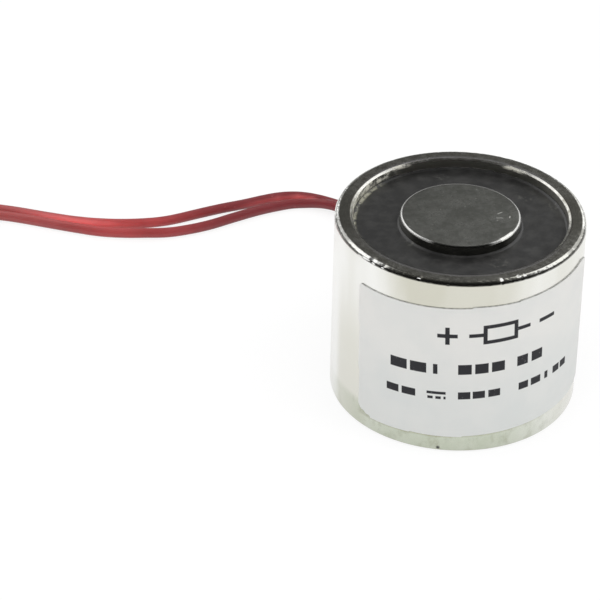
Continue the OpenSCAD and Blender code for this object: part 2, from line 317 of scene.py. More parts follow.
nickelLook = {
    "clean": (0.87, 0.87, 0.845, 1),
    # the duller colour serves the plate's streaks and also the painted shade on the side
    "dull": (0.62, 0.61, 0.525, 1),
    # painted shade: the foot's colour stands for a mirrored contact shadow, and the next colour darkens its
    # bottom line as well as grime
    "foot": (0.475, 0.515, 0.405, 1),
    "grimeAndShade": (0.36, 0.37, 0.28, 1),
    "face": (0.335, 0.33, 0.30, 1),
    # the flat's darker tone, also used as painted shade
    "faceDarkAndShade": (0.185, 0.18, 0.155, 1),
    # painted highlight: the lighter ring at the rim's lip
    "lip": (0.40, 0.39, 0.385, 1),
    "mouth": (0.68, 0.67, 0.63, 1),
    "mouthDark": (0.30, 0.29, 0.25, 1),
    # painted highlight on the bevel at the back
    "mouthHighlight": (0.95, 0.94, 0.90, 1),
    "wall": (0.52, 0.51, 0.46, 1),
    # glue film, pale enough to stand in for light on the wall as well
    "filmAndHighlight": (0.88, 0.86, 0.74, 1),
    # painted shade: dark reflection on the rim's edge
    "worn": (0.085, 0.083, 0.072, 1),
    "smear": (0.03, 0.03, 0.03, 1),
    # painted highlight: glints on the rim's edge
    "chipGlint": (0.92, 0.92, 0.90, 1),
    "front": -3.93,  # place round the cup that faces the camera
    # patches: middle, reach and core, round the cup
    "frontShade": (-4.0, 8.8, 3.2),  # painted shade, a darker reflection above the label
    "strip": (-15.9, 3.6, 1.8),  # painted shade, a darker reflection to the left of the label
    "low": (-5.0, 18.5, 4.0),  # painted shade, the foot darker and greener, a mirrored contact shadow
    "rimFrontShade": (-5.2, 6.9, 5.2),  # painted shade, a dark reflection on the rim's edge at the front
    # where masks start and are full: heights and radii
    "frontShadeHeight": (15.0, 17.0), "stripHeight": (19.0, 8.0), "footShadeHeight": (3.4, 2.3), "footShadeLine": (0.35, 0.1),
    "faceHeight": (19.93, 19.98), "faceFrom": (10.93, 10.97), "faceTo": (12.10, 12.04),
    "mouthHeight": (19.6, 19.7), "mouthTo": (10.99, 10.95), "lipHighlightRadius": (11.32, 11.12),
    "innerTo": 10.74, "innerHeight": (18.0, 18.6), "smearHeight": (18.82, 18.76),
    "edgeFrom": 12.0, "edgeHeight": (19.58, 19.66), "chipsFrom": 11.9, "edgeShadeHeight": (19.87, 19.80),
    # distances from the front, round the cup
    "edgeShadeLift": (11.5, 13.5), "edgeShadeTo": (19.0, 17.5), "edgeShadeSides": ((12.6, 13.8), (19.0, 18.0)),
    # distances behind the axis
    "filmHighlightBack": ((8.0, 8.7), (9.8, 9.4)), "mouthHighlightBack": ((2.5, 5.0), (9.8, 8.5)), "mouthShadeLeft": (4.4, 1.6),
    # painted highlight ring at the lip, front and back; painted shade on the flat's sides
    "lipHighlightAhead": (4.0, 8.5), "flatShadeSides": (5.0, 2.0),
    "filmAt": (-8.9, 5.9), "filmNear": (7.5, 3.5), "filmHeight": (18.95, 19.35),  # on the wall, on one side
    "seam": (0.35, 0.05, 0.4),  # dark line under the label: start, full, and fade at its ends
    "dot": (-4.9, 0.46), "dotSize": (0.26, 0.06),
    # bright chips on the rim's edge, painted white as glints: place round the cup, height, half width, half
    # height
    "chips": [
        (0.59, 19.94, 0.16, 0.08), (-7.68, 19.86, 0.20, 0.03), (-13.9, 19.76, 0.55, 0.08),
        (-12.9, 19.71, 0.25, 0.06), (-11.7, 19.74, 0.16, 0.05), (2.45, 19.97, 0.22, 0.04),
        (3.1, 19.96, 0.16, 0.04),
    ],
}


def nickelFinish(look):
    f = Finish("nickel")
    radius = f.radius()
    around = f.around(cupRadius)
    ahead = f.along(view["ahead"])
    fromFront = abs(around - look["front"])
    streak = noise(f.place, 0.13, 3, 0.5, (1, 1, 0.25))
    cloud = noise(f.place, 0.55, 4)
    blot = noise(f.place, 0.75, 3, 0.6, (1, 1, 0.6))
    mottle = noise(f.place, 1.5, 5, 0.7)
    turning = rings(f.z + radius, 9)
    pits = fade(noise(f.place, 5.0, 2), 0.68, 0.76)
    # painted shade: mask of the darker foot
    low = fade(f.z, *look["footShadeHeight"]) * hump(around, *look["low"])
    face = fade(f.z, *look["faceHeight"]) * fade(radius, *look["faceFrom"]) * fade(radius, *look["faceTo"])
    mouth = fade(f.z, *look["mouthHeight"]) * fade(radius, *look["mouthTo"])
    inner = (radius < look["innerTo"]) * fade(f.z, *look["innerHeight"])
    # painted shade: the side darker across the front and to the left of the label, as darker reflections; the
    # streaks are the plate's own tone
    frontShade = hump(around, *look["frontShade"]) * fade(f.z, *look["frontShadeHeight"])
    strip = hump(around, *look["strip"]) * fade(f.z, *look["stripHeight"])
    dull = least(0.85 * frontShade + 0.6 * strip + 0.45 * fade(streak, 0.4, 0.68), 1.0)
    dotRound, dotHeight = look["dot"]
    dot = fade(((around - dotRound) ** 2 + (f.z - dotHeight) ** 2) ** 0.5, *look["dotSize"])
    # glue film on the wall, pale enough to stand in for light on it as well, and painted highlight on the
    # bevel at the back; smears next to the resin
    near = fade(f.off(*look["filmAt"]), *look["filmNear"])
    patchy = fade(mottle, 0.40, 0.56)
    filmAndHighlight = inner * near * patchy * fade(f.z, *look["filmHeight"])
    filmAndHighlight = most(filmAndHighlight, 0.6 * patchy * mouth * window(ahead, *look["filmHighlightBack"]))
    smear = inner * fade(f.z - 0.55 * noise(f.place, 0.7, 3), *look["smearHeight"])
    # rim edge: painted shade, a dark reflection on its rounding, broken up, with a few bright chips painted
    # as glints
    edge = (radius > look["edgeFrom"]) * fade(f.z, *look["edgeHeight"])
    reachUp = f.z - 0.22 * (mottle - 0.5) - 0.07 * fade(fromFront, *look["edgeShadeLift"])
    worn = fade(reachUp, *look["edgeShadeHeight"]) * fade(fromFront, *look["edgeShadeTo"]) * fade(cloud, 0.28, 0.42)
    worn = most(0.8 * worn, 0.75 * hump(around, *look["rimFrontShade"]))
    sides = window(fromFront, *look["edgeShadeSides"]) * fade(mottle, 0.34, 0.46)
    worn = edge * most(worn, 0.6 * sides)
    chips = total(fade(((around - at) / halfWide) ** 2 + ((f.z - height) / halfTall) ** 2, 1.5, 0.5)
                  for at, height, halfWide, halfTall in look["chips"])
    chips = least(chips, 1.0) * (radius > look["chipsFrom"]) * fade(mottle, 0.30, 0.48)
    # dark line under the label's bottom edge
    tilt = math.radians(sticker["tilt"])
    above = (f.z - sticker["middle"]) * math.cos(tilt) - f.x * math.sin(tilt)
    halfTall, halfWide = sticker["height"] / 2, sticker["width"] / 2
    start, full, ends = look["seam"]
    seam = fade(above, -halfTall - start, -halfTall - full) * fade(abs(around), halfWide, halfWide - ends)
    colour = blendColour(dull, look["clean"], look["dull"])
    # painted shade on the foot, darkest along its bottom line; the blotches are grime
    colour = blendColour(low * (0.65 + 0.35 * cloud), colour, look["foot"])
    grimeAndShade = low * (fade(blot, 0.48, 0.68) * 0.5 + 0.55 * seam + 0.5 * fade(f.z, *look["footShadeLine"]))
    colour = blendColour(least(grimeAndShade, 1.0), colour, look["grimeAndShade"])
    lip = blendColour(fade(mottle, 0.40, 0.62), look["mouth"], look["mouthDark"])
    # painted shade on the bevel at the front left, painted highlight on it at the back
    lip = blendColour(0.7 * fade(ahead, *look["mouthShadeLeft"]) * (f.x < 0), lip, look["faceDarkAndShade"])
    lip = blendColour(0.55 * window(ahead, *look["mouthHighlightBack"]), lip, look["mouthHighlight"])
    colour = blendColour(mouth, colour, lip)
    flat = blendColour(fade(mottle, 0.36, 0.66), look["face"], look["faceDarkAndShade"])
    # painted highlight: a lighter ring at the lip, front and back; painted shade: the flat darker on its
    # sides
    lipHighlight = fade(radius, *look["lipHighlightRadius"]) * fade(abs(ahead), *look["lipHighlightAhead"])
    flat = blendColour(lipHighlight, flat, look["lip"])
    flat = blendColour(0.85 * fade(abs(ahead), *look["flatShadeSides"]), flat, look["faceDarkAndShade"])
    colour = blendColour(face, colour, flat)
    colour = blendColour(inner, colour, look["wall"])
    colour = blendColour(filmAndHighlight, colour, look["filmAndHighlight"])
    colour = blendColour(worn, colour, look["worn"])
    dirt = most(smear, dot)
    colour = blendColour(dirt, colour, look["smear"])
    colour = blendColour(chips, colour, look["chipGlint"])
    rough = 0.15 + 0.1 * cloud + 0.06 * turning + 0.14 * inner + 0.2 * filmAndHighlight
    height = 0.0012 * turning + 0.003 * noise(f.place, 1.6, 2) - 0.004 * pits + 0.006 * face * mottle
    metal = 1 - most(most(dirt, chips), 0.9 * filmAndHighlight)
    return f.set(Base_Color=colour, Metallic=metal, Roughness=rough, Normal=bump(height - 0.02 * chips))


steelLook = {
    "face": (0.30, 0.303, 0.28, 1),
    "dull": (0.19, 0.193, 0.175, 1),
    # painted shade: the core's side darker, as a dark reflection
    "side": (0.22, 0.22, 0.20, 1),
    # painted highlight on the edge's rounding, and painted shade on it across the front
    "edge": (0.66, 0.655, 0.64, 1),
    "edgeShade": (0.14, 0.14, 0.13, 1),
    "scratchAndGlint": (0.95, 0.95, 0.90, 1),
    "sideHeight": (19.84, 19.80),
    "edgeRadius": (5.76, 5.82),
    "edgeFrontShade": (-0.15, 3.3, 2.5),  # painted shade on the edge across the front: middle, reach, core
    # painted highlight: a glint on one stretch of the edge
    "glintAt": (3.35, -4.83), "glintNear": (1.15, 0.75), "glintRadius": (5.64, 5.70),
    # short scratches: place, turn, half length
    "ticks": [(3.9, -0.54, 20, 0.35), (3.63, -1.43, -10, 0.4), (4.66, -1.46, 70, 0.25)],
    "tickWidth": (0.07, 0.03),
}


def steelFinish(look):
    f = Finish("pole_steel")
    radius = f.radius()
    blotch = noise(f.place, 0.42, 5, 0.62)
    fine = noise(f.place, 1.8, 5, 0.7)
    grind = noise(f.place, 2.2, 3, 0.6, (1, 9, 1))
    lathe = rings(radius + f.z, 7)
    side = fade(f.z, *look["sideHeight"])
    edge = fade(radius, *look["edgeRadius"]) * (1 - side)
    front = hump(f.along(view["across"]), *look["edgeFrontShade"]) * (f.along(view["ahead"]) < 0)
    glint = fade(radius, *look["glintRadius"]) * (1 - side)
    glint = glint * fade(f.off(*look["glintAt"]), *look["glintNear"])
    marks = []
    for tickX, tickY, turn, half in look["ticks"]:
        cosTurn, sinTurn = math.cos(math.radians(turn)), math.sin(math.radians(turn))
        along = abs((f.x - tickX) * cosTurn + (f.y - tickY) * sinTurn)
        aside = abs((f.y - tickY) * cosTurn - (f.x - tickX) * sinTurn)
        marks.append(fade(along, half, half * 0.6) * fade(aside, *look["tickWidth"]))
    ticks = total(marks)
    specks = fade(noise(f.place, 3.2, 2), 0.68, 0.75) * (1 - side)
    colour = blendColour(fade(0.6 * blotch + 0.4 * fine, 0.38, 0.61), look["face"], look["dull"])
    # painted shade: the side darker
    colour = blendColour(side, colour, look["side"])
    # painted highlight on the edge, painted shade across its front
    colour = blendColour(edge, colour, blendColour(front, look["edge"], look["edgeShade"]))
    # scratches and specks, with the painted glint
    colour = blendColour(least(ticks + 0.5 * specks + glint, 1.0), colour, look["scratchAndGlint"])
    rough = 0.2 + 0.1 * grind + 0.08 * blotch - 0.08 * side - 0.08 * edge
    height = 0.004 * grind + 0.002 * lathe - 0.006 * ticks - 0.004 * specks + 0.004 * fine
    metal = 1 - most(0.3 * edge * (1 - front), 0.8 * glint)
    return f.set(Base_Color=colour, Metallic=metal, Roughness=rough, Normal=bump(height))


resinLook = {
    "deep": (0.020, 0.020, 0.0195, 1),
    "dusty": (0.050, 0.0495, 0.047, 1),
    "smear": (0.13, 0.128, 0.115, 1),
    # dusty smears: place and reach
    "smears": [(1.7, -7.7, 1.5), (7.9, 3.7, 1.6), (-5.6, -2.2, 1.0), (10.4, 1.4, 1.3), (0.5, 8.9, 1.2)],
    "residue": (0.34, 0.33, 0.25, 1),
    # pale residue against the wall on one side
    "residueAt": (-9.3, 5.0), "residueNear": (6.5, 3.0), "residueRadius": (10.25, 10.5),
}


def resinFinish(look):
    f = Finish("resin")
    swirl = noise(f.place, 0.7, 6, 0.66)
    dust = fade(noise(f.place, 4.5, 2), 0.7, 0.76)
    colour = blendColour(fade(swirl, 0.40, 0.66) * 0.55 + 0.45 * dust, look["deep"], look["dusty"])
    streaks = fade(noise(f.place, 2.4, 5, 0.72), 0.50, 0.64)
    for smearX, smearY, reach in look["smears"]:
        spot = fade(f.off(smearX, smearY), reach, reach * 0.2)
        colour = blendColour(spot * streaks * 0.6, colour, look["smear"])
    near = fade(f.off(*look["residueAt"]), *look["residueNear"])
    patchy = fade(noise(f.place, 1.5, 5, 0.7), 0.42, 0.58)
    colour = blendColour(near * fade(f.radius(), *look["residueRadius"]) * patchy, colour, look["residue"])
    rough = 0.26 + 0.14 * swirl + 0.12 * dust
    height = 0.012 * noise(f.place, 0.4, 2) + 0.004 * noise(f.place, 2.5, 3) + 0.008 * dust
    return f.set(Base_Color=colour, Roughness=rough, Normal=bump(height))


labelLook = {
    "paper": (0.778, 0.774, 0.750, 1),
    "shade": (0.69, 0.708, 0.695, 1),
    "edge": (0.62, 0.625, 0.60, 1),
    "ink": (0.018, 0.018, 0.022, 1),
    "inkEdge": 0.035,
    "shadeFrom": (5.0, -5.0),
    "rim": (0.10, 0.02),  # darker border of the paper
    # rows of print: height of the middle, half height, and the ends of each bar
    "rows": [
        (0.45, 0.58, [(-10.3, -8.6), (-8.2, -6.5), (-5.9, -5.45), (-3.4, -2.1), (-1.7, -0.4), (0.0, 1.3),
                      (2.6, 3.9), (4.3, 5.6)]),
        (-2.65, 0.43, [(-10.8, -9.4), (-9.1, -7.7), (-3.4, -2.2), (-1.9, -0.7), (-0.4, 0.8), (2.8, 4.0),
                       (4.3, 5.5), (6.1, 6.5), (7.3, 8.3), (8.6, 9.6)]),
    ],
    "coilMark": (0.9, 4.4, 1.8, 1.1, 0.21),  # middle, half width, half height, half stroke
    "leadMark": 1.4,
    "poleMarks": [(-4.4, 4.4, 1.0), (6.2, 4.4, 0.0)],  # plus and minus: middle, half height
    "poleMark": (1.0, 0.22),
    "directMark": (-5.5, -2.65, 0.95, 0.16),  # middle, half width, half stroke
    "directGap": 0.28,
    "dash": (0.2, 0.4),  # start and half pitch
}


def labelFinish(look):
    f = Finish("label_paper")
    tilt = math.radians(sticker["tilt"])
    up = f.z - sticker["middle"]
    u = f.around(sticker["radius"] + sticker["thick"]) * math.cos(tilt) + up * math.sin(tilt)
    v = up * math.cos(tilt) - f.x * math.sin(tilt)
    width, height = sticker["width"], sticker["height"]

    def soft(distance, half):  # 1 inside a half width, with a printed edge
        return fade(distance, half + look["inkEdge"], half - look["inkEdge"])

    marks = []
    for middle, half, bars in look["rows"]:
        stops = [(0.0, (0, 0, 0, 1))]
        for start, end in bars:
            stops += [(start / width + 0.5, (1, 1, 1, 1)), (end / width + 0.5, (0, 0, 0, 1))]
        bar = f.wire.node("ShaderNodeValToRGB", {"stops": stops, "rampMode": "CONSTANT"},
                          {"Fac": u / width + 0.5})
        marks.append(bar * soft(abs(v - middle), half))
    atU, atV, halfU, halfV, stroke = look["coilMark"]
    du, dv = abs(u - atU), abs(v - atV)
    hollow = soft(du, halfU - 2 * stroke) * soft(dv, halfV - 2 * stroke)
    marks.append(soft(du, halfU) * soft(dv, halfV) * (1 - hollow))
    halfLead = look["leadMark"] / 2
    marks.append(soft(abs(du - halfU - halfLead), halfLead) * soft(dv, stroke))
    half, stroke = look["poleMark"]
    for atU, atV, tall in look["poleMarks"]:
        du, dv = abs(u - atU), abs(v - atV)
        marks.append(soft(du, half) * soft(dv, stroke))
        if tall:
            marks.append(soft(du, stroke) * soft(dv, tall))
    atU, atV, half, stroke = look["directMark"]
    start, halfPitch = look["dash"]
    du = abs(u - atU)
    marks.append(soft(du, half) * soft(abs(v - atV - look["directGap"]), stroke))
    dash = fade(f.wire.maths("PINGPONG", u - atU + start, halfPitch), 0.1, 0.16)
    marks.append(soft(du, half) * soft(abs(v - atV + look["directGap"]), stroke) * dash)
    ink = least(total(marks), 1.0)
    worn = 0.9 + 0.1 * fade(noise(f.place, 3.5, 3), 0.72, 0.62)
    fibre = noise(f.place, 2.4, 4, 0.6)
    start, full = look["rim"]
    rim = fade(abs(v), height / 2 - start, height / 2 - full)
    lower = fade(v, *look["shadeFrom"]) * 0.6 + 0.4 * fade(noise(f.place, 0.22, 3), 0.35, 0.7)
    colour = blendColour(lower, look["paper"], look["shade"])
    colour = blendColour(ink * worn, colour, look["ink"])
    colour = blendColour(rim * 0.2, colour, look["edge"])
    rough = 0.42 + 0.12 * fibre + 0.1 * ink
    heights = 0.002 * fibre + 0.01 * noise(f.place, 0.3, 2) + 0.0015 * ink
    return f.set(Base_Color=colour, Roughness=rough, Specular_IOR_Level=0.3, Normal=bump(heights))


leadLook = {
    "red": (0.56, 0.080, 0.082, 1),
    "pale": (0.66, 0.17, 0.165, 1),
    "dark": (0.46, 0.060, 0.06, 1),
    "shadeNearCup": (0.165, 0.021, 0.027, 1),  # painted shade: darker next to the cup
    "shadeNearFrom": (-30, -13),
    "far": (0.34, 0.085, 0.083, 1),  # duller further off
    "farFrom": (-28, -37),
    "creaseHighlight": (0.92, 0.22, 0.22, 1),  # painted highlight along the crease where the two leads lie side by side
    "span": (-41.0, -5.0, 16),  # stretch where they do: ends and steps
    "spanEnds": (10, 1),
    "depth": (30, 15),  # start and range of the line between them, in y
    # painted highlight near the line between them, painted shade on their outer flanks
    "inner": (0.72, 0.15),
    "outer": (0.8, 1.15),
    # light that soaks into the soft plastic: share, depth in m, reach of red, green and blue
    "glow": (0.5, 0.0007, (1.0, 0.3, 0.25)),
}


def between(x):  # the line midway between the leads, in plan
    sides = []
    for plan in (leads["planA"], leads["planB"]):
        for start, end in zip(plan, plan[1:]):
            if end[0] <= x < start[0]:
                sides.append(start[1] + (end[1] - start[1]) * (x - start[0]) / (end[0] - start[0]))
    return leads["exit"][1] + sum(sides) / len(sides)


def leadFinish(look):
    f = Finish("lead_pvc")
    first, last, count = look["span"]
    base, reach = look["depth"]
    stops = []
    for i in range(count + 1):
        level = (between(first + (last - first) * i / count) - base) / reach
        stops.append((i / count, (level, level, level, 1)))
    middle = f.wire.node("ShaderNodeValToRGB", {"stops": stops}, {"Fac": (f.x - first) / (last - first)})
    apart = abs(f.y - base - reach * middle)
    fadeIn, fadeOut = look["spanEnds"]
    paired = fade(f.x, first, first + fadeIn) * fade(f.x, last, last - fadeOut)
    patch = noise(f.place, 0.25, 3)
    fine = noise(f.place, 3.0, 3)
    scuff = fade(noise(f.place, 1.6, 4, 0.7), 0.62, 0.72)
    near = fade(f.x, *look["shadeNearFrom"])
    colour = blendColour(fade(patch, 0.35, 0.65), look["red"], look["dark"])
    # painted shade: darker towards the cup
    colour = blendColour(near * 0.85, colour, look["shadeNearCup"])
    colour = blendColour(fade(f.x, *look["farFrom"]) * 0.7, colour, look["far"])
    colour = blendColour(scuff * 0.4, colour, look["pale"])
    # painted highlight along the crease between the leads, painted shade on their outer flanks
    colour = blendColour(paired * fade(apart, *look["inner"]) * (0.92 - 0.2 * near), colour, look["creaseHighlight"])
    colour = blendColour(paired * fade(apart, *look["outer"]) * 0.3, colour, look["shadeNearCup"])
    rough = 0.34 + 0.12 * fine + 0.12 * scuff
    height = 0.006 * fine + 0.02 * noise(f.place, 0.6, 2)
    share, depth, colours = look["glow"]
    return f.set(Base_Color=colour, Roughness=rough, Normal=bump(height), Subsurface_Weight=share,
                 Subsurface_Radius=colours, Subsurface_Scale=depth)


# Plain finishes, also for what is sealed inside: two colours and the fade between them, metal, roughness
# and its change, depth of the grain, and its size, detail, roughness and stretch
plainLook = {
    "label_edge": (labelLook["edge"], (0.42, 0.42, 0.40, 1), (0.35, 0.65),
                   0.0, (0.6, 0.2), 0.004, (3.0, 3)),
    "solder": ((0.66, 0.66, 0.64, 1), (0.42, 0.42, 0.41, 1), (0.4, 0.7),
               1.0, (0.22, 0.25), 0.006, (4.0, 4, 0.65)),
    "tie": ((0.018, 0.018, 0.019, 1), (0.045, 0.045, 0.047, 1), (0.4, 0.7),
            0.0, (0.45, 0.15), 0.006, (5.0, 3)),
    "bobbin_plastic": ((0.74, 0.70, 0.58, 1), (0.66, 0.61, 0.48, 1), (0.35, 0.65),
                       0.0, (0.42, 0.15), 0.01, (2.0, 3, 0.6)),
    "copper": ((0.62, 0.25, 0.10, 1), (0.45, 0.15, 0.055, 1), (0.35, 0.65),
               1.0, (0.28, 0.15), 0.01, (3.0, 3, 0.6, (0.05, 0.05, 3))),
    "coil_tape": ((0.62, 0.42, 0.07, 1), (0.52, 0.33, 0.05, 1), (0.35, 0.65),
                  0.0, (0.25, 0.15), 0.01, (1.2, 3, 0.6, (1, 1, 0.3))),
    "sleeve": ((0.66, 0.58, 0.36, 1), (0.54, 0.46, 0.27, 1), (0.35, 0.65),
               0.0, (0.6, 0.15), 0.01, (6.0, 3, 0.6)),
}


def plainFinish(name, look):
    first, second, mix, metal, (rough, change), depth, texture = look
    f = Finish(name)
    grain = noise(f.place, *texture)
    colour = blendColour(fade(grain, *mix), first, second)
    rough = rough + change * grain
    return f.set(Base_Color=colour, Metallic=metal, Roughness=rough, Normal=bump(depth * grain))


finishes = {
    "nickel": nickelFinish(nickelLook),
    "pole_steel": steelFinish(steelLook),
    "resin": resinFinish(resinLook),
    "label_paper": labelFinish(labelLook),
    "lead_pvc": leadFinish(leadLook),
}
for slotName, look in plainLook.items():
    finishes[slotName] = plainFinish(slotName, look)
insideNodes = {
    "bobbin": "bobbin_plastic", "winding": "copper", "winding_tape": "coil_tape",
    "start_tail": "copper", "finish_tail": "copper", "start_splice": "solder", "finish_splice": "solder",
    "start_sleeve": "sleeve", "finish_sleeve": "sleeve", "lead_a_root": "lead_pvc", "lead_b_root": "lead_pvc",
}
for nodeName, slotName in insideNodes.items():
    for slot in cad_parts[nodeName].material_slots:
        slot.material = finishes[slotName]
print("finishes:", len(finishes))


# Mesh work, as by hand
smoothAngle = 35  # edges blunter than this look smooth


def dropSelection():
    if bpy.context.mode != "OBJECT":
        bpy.ops.object.mode_set(mode="OBJECT")
    bpy.ops.object.select_all(action="DESELECT")


def choose(*pieces):  # the first one is active
    dropSelection()
    for piece in pieces:
        piece.select_set(True)
    bpy.context.view_layer.objects.active = pieces[0]


def startPoint(name):
    dropSelection()
    bpy.ops.mesh.primitive_plane_add(size=mm)
    made = bpy.context.object
    made.name = made.data.name = name
    bpy.ops.object.mode_set(mode="EDIT")
    bpy.ops.mesh.select_all(action="SELECT")
    bpy.ops.mesh.merge(type="CENTER")
    return made


def drawLine(points):
    bpy.ops.transform.translate(value=Vector(points[0]) * mm)
    for start, end in zip(points, points[1:]):
        bpy.ops.mesh.extrude_region_move(TRANSFORM_OT_translate={"value": (Vector(end) - Vector(start)) * mm})
    bpy.ops.mesh.select_all(action="SELECT")


def closeMesh():
    bpy.ops.mesh.select_all(action="SELECT")
    bpy.ops.mesh.remove_doubles(threshold=1e-6)
    bpy.ops.mesh.normals_make_consistent()
    bpy.ops.object.mode_set(mode="OBJECT")


def fillEnds():
    bpy.ops.object.mode_set(mode="EDIT")
    bpy.ops.mesh.select_mode(type="EDGE")
    bpy.ops.mesh.select_all(action="DESELECT")
    bpy.ops.mesh.select_non_manifold()
    bpy.ops.mesh.fill()
    bpy.ops.mesh.select_mode(type="VERT")
    closeMesh()


def spinLine(name, points, steps, axis=(0, 0, 1), height=0):
    made = startPoint(name)
    drawLine(points)
    bpy.ops.mesh.spin(steps=steps, angle=math.radians(360), axis=axis, center=(0, 0, height * mm))
    closeMesh()
    return made


def turnPiece(name, profile, steps):  # about the part's own axis
    return spinLine(name, [(r, 0, z) for r, z in profile], steps)


def turnAcross(name, profile, height, steps):  # about the axis of the lead hole
    return spinLine(name, [(x, y, height) for x, y in profile], steps, (0, 1, 0), height)


def corner(r, z, radius, start, end, count=6):
    turns = [math.radians(start + (end - start) * i / count) for i in range(count + 1)]
    return [(r + radius * math.cos(a), z + radius * math.sin(a)) for a in turns]


def applyModifier(piece, kind, **settings):
    choose(piece)
    made = piece.modifiers.new(kind.lower(), kind)
    for name, value in settings.items():
        setattr(made, name, value)
    bpy.ops.object.modifier_apply(modifier=made.name)


def combine(piece, other, operation):
    applyModifier(piece, "BOOLEAN", object=other, operation=operation, solver="EXACT")
    bpy.data.objects.remove(other)


def pickPoints(piece, name, share):
    group = piece.vertex_groups.new(name=name)
    for p in piece.data.vertices:
        weight = float(share(p.co / mm))
        if weight > 0:
            group.add([p.index], weight, "REPLACE")
    return group.name


def cloudTexture(name, size, depth, low, high):
    made = bpy.data.textures.new(name, "CLOUDS")
    made.noise_scale = size * mm
    made.noise_depth = depth
    made.use_color_ramp = True
    first, last = made.color_ramp.elements
    first.position, first.color = low, (0, 0, 0, 1)
    last.position, last.color = high, (1, 1, 1, 1)
    return made


def finishPiece(piece, slotName, nodes):
    choose(piece)
    if piece.type == "MESH":
        bpy.ops.object.shade_smooth_by_angle(angle=math.radians(smoothAngle))
    if not piece.data.materials:
        piece.data.materials.append(finishes[slotName])
    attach(piece, "root")
    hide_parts(*nodes)


# Cup
cup = {
    "height": 20.0, "bore": 10.7, "floor": 3.0, "spigot": 4.0, "baseRing": 8.0,
    "rimRound": 0.45, "rimSteps": 12, "mouthWide": 0.26, "mouthDeep": 0.155, "footRound": 0.4, "steps": 720,
    "wallRings": (1.2, 10, 18.8, 19.2, 19.4), "boreRings": (19.4, 19.1, 10), "rimRings": (0.1, 0.35),
    # softened edges of the mouth's bevel: outward and down at its top, outward and up at its foot
    "mouthTop": ((0.2, 0), (0.06, 0), (0.015, 0.006), (-0.035, 0.024), (-0.06, 0.042)),
    "mouthFoot": ((0.06, 0.042), (0.035, 0.022), (0.008, -0.015), (0, -0.06)),
    "edgeDown": (0.62, 0.3), "edgeIn": (0.1, 0.15),  # where the rim's edge is chipped: start and fade
    "chipGrain": (0.35, 2, 0.55, 0.8), "chipDepth": 0.035, "nickDepth": 0.07,
    # nicks: angle, reach and share of the depth
    "nicks": [
        (-87.3, 0.25, 1.0), (-111.6, 0.2, 0.5), (-125.2, 0.3, 0.7), (-143.4, 0.2, 0.6), (-150.1, 0.4, 1.0),
    ],
    "hole": 1.4, "holeHeight": 5.0, "holeFlare": 0.2, "holeLip": 0.25, "holeFrom": 9.5, "holeSteps": 96,
}


def makeCup(c):
    top, out, bore = c["height"], cupRadius, c["bore"]
    rim, foot = c["rimRound"], c["footRound"]
    wide, deep = c["mouthWide"], c["mouthDeep"]
    profile = [(c["spigot"], 0), (c["baseRing"], 0)]
    profile += corner(out - foot, foot, foot, -90, 0)
    profile += [(out, z) for z in c["wallRings"]]
    profile += corner(out - rim, top - rim, rim, 0, 90, c["rimSteps"])
    profile += [(out - rim - d, top) for d in c["rimRings"]]
    profile += [(bore + wide + d, top - h) for d, h in c["mouthTop"]]
    profile += [(bore + d, top - deep + h) for d, h in c["mouthFoot"]]
    profile += [(bore, z) for z in c["boreRings"]]
    profile += [(bore, c["floor"]), (c["spigot"], c["floor"]), (c["spigot"], 0)]
    piece = turnPiece("cup_shell", profile, c["steps"])

    def onEdge(p):
        down, downFade = c["edgeDown"]
        inset, insetFade = c["edgeIn"]
        bite = min((p.z - top + down) / downFade, (math.hypot(p.x, p.y) - out + rim + inset) / insetFade, 1)
        return max(bite, 0)

    def nicked(p):
        turn = math.degrees(math.atan2(p.y, p.x))
        share = 0
        for angle, reach, bite in c["nicks"]:
            share = max(share, bite * (1 - (math.radians(turn - angle) * out / reach) ** 2))
        return share * onEdge(p)

    chips = pickPoints(piece, "chips", onEdge)
    nicks = pickPoints(piece, "nicks", nicked)
    applyModifier(piece, "DISPLACE", texture=cloudTexture("chip_grain", *c["chipGrain"]),
                  vertex_group=chips, strength=-c["chipDepth"] * mm, mid_level=0)
    applyModifier(piece, "DISPLACE", vertex_group=nicks, strength=-c["nickDepth"] * mm, mid_level=0)
    hole, flare, lip = c["hole"], c["holeFlare"], c["holeLip"]
    bit = [(0, c["holeFrom"]), (hole, c["holeFrom"]), (hole, out - lip), (hole + flare, out)]
    bit += [(hole + 2 * flare, out + lip), (0, out + lip)]
    combine(piece, turnAcross("hole_cutter", bit, c["holeHeight"], c["holeSteps"]), "DIFFERENCE")
    finishPiece(piece, "nickel", ["cup"])


makeCup(cup)
print("cup turned")

# Pole core with its tapped hole
core = {
    "radius": 6.0, "height": 20.0, "edge": 0.2, "base": 3.0, "spigot": 4.0, "spigotEdge": 0.2,
    "sideRings": (12, 19), "faceRings": (5.5, 3, 0), "drill": 1.65, "pointAngle": 118, "depth": 7.0,
    "root": 2.0, "sink": 2.2, "threaded": 5.8, "runOut": 0.35, "pitch": 0.7, "threadStart": 0.5,
    "ridgeSink": 0.03, "ridgeFoot": 0.31, "ridgeCrest": 0.06, "threadTurns": 7, "turnSteps": 64, "steps": 384,
}


